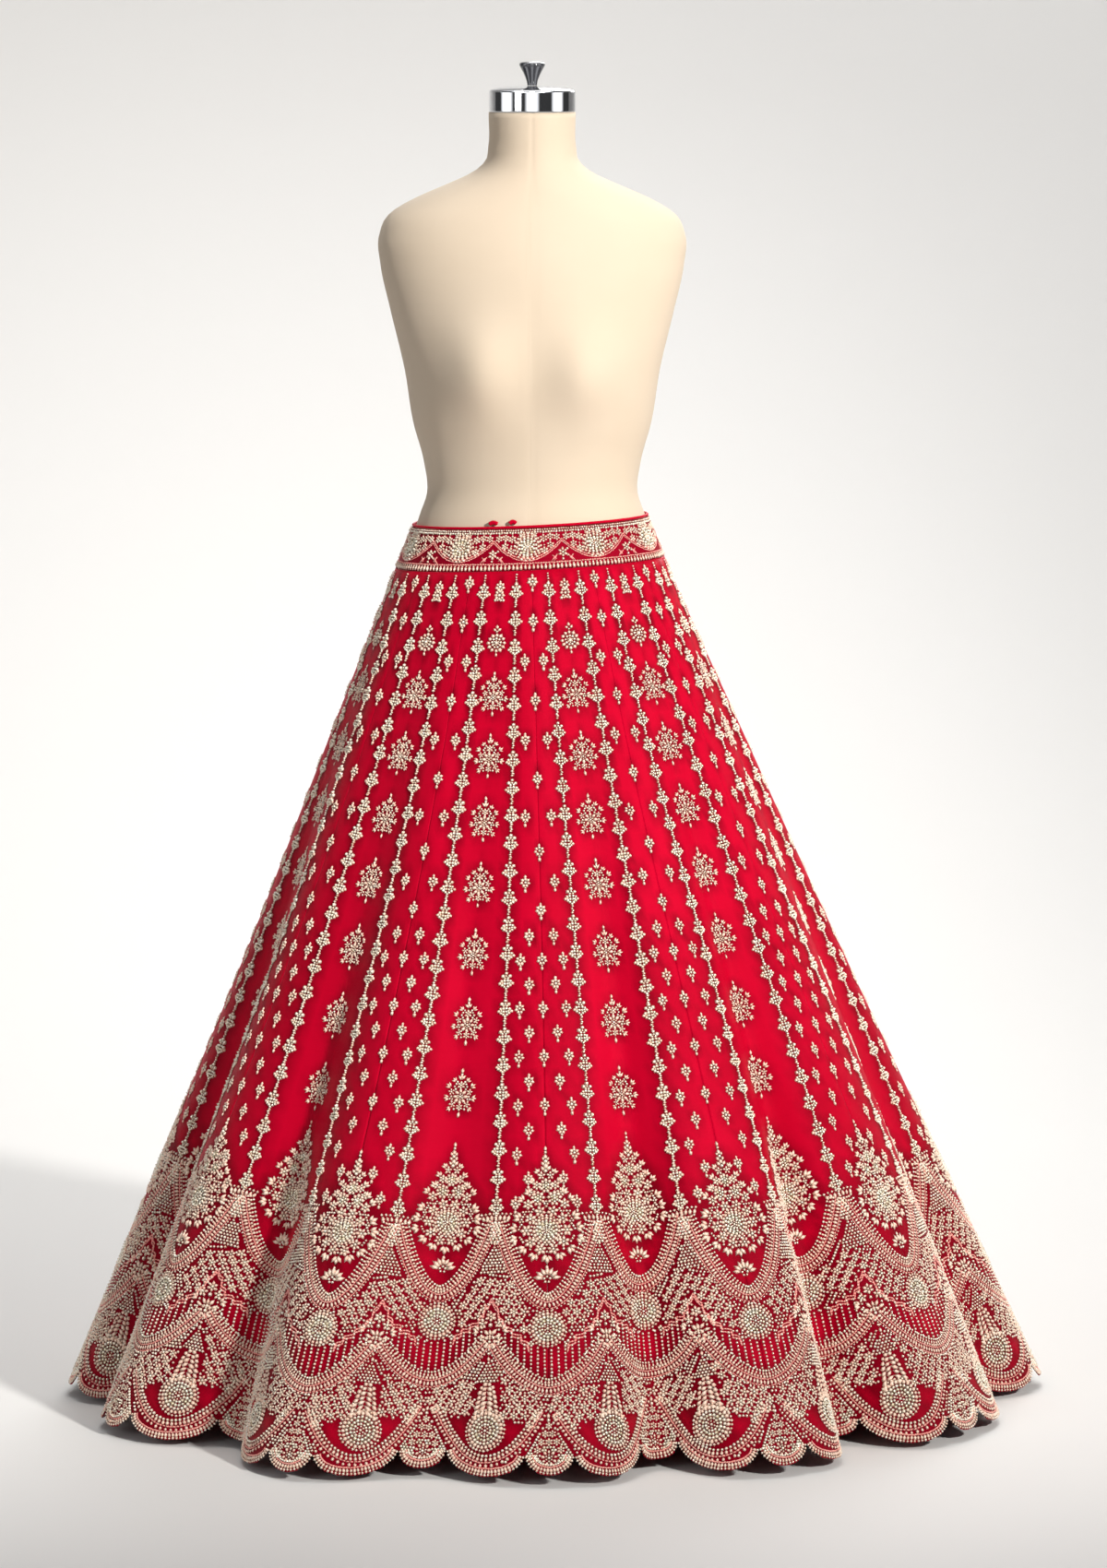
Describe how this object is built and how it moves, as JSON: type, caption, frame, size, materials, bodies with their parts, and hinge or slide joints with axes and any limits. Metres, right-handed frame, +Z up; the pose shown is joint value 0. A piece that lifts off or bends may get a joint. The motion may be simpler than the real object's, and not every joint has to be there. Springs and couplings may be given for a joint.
{
  "type": "lehenga skirt on dress form",
  "caption": "Flared floor-length lehenga skirt of gored panels with a scalloped hem and broad waistband, on a limbless dress form with a metal neck cap, pole and round base.",
  "frame": {"origin": "on the floor, at the centre of the round base's flat underside", "axes": "+Z up along the form's pole, -Y towards the skirt's front, +X to the right of someone who faces the front"},
  "size_m": [1.1352, 1.0511, 1.5416],
  "materials": {
    "skirt_silk": "crimson raw silk with metallic thread, bead and sequin embroidery",
    "band_silk": "crimson silk waistband, densely embroidered",
    "form_cover": "cream cotton cover",
    "form_chrome": "polished chrome",
    "knob_dark": "glossy dark grey"
  },
  "bodies": {
    "root": {"kali_01": "skirt_silk", "kali_02": "skirt_silk", "kali_03": "skirt_silk", "kali_04": "skirt_silk", "kali_05": "skirt_silk", "kali_06": "skirt_silk", "kali_07": "skirt_silk", "kali_08": "skirt_silk", "kali_09": "skirt_silk", "kali_10": "skirt_silk", "kali_11": "skirt_silk", "kali_12": "skirt_silk", "waistband": "band_silk", "waistband_piping": "skirt_silk", "drawstring_bow": "skirt_silk", "drawstring_end": "skirt_silk", "form_torso": "form_cover", "form_plate": "form_cover", "form_pole": "form_chrome", "form_hub": "form_chrome", "form_base": "form_chrome", "neck_cap": "form_chrome", "neck_knob": "knob_dark"}
  },
  "joints": []
}
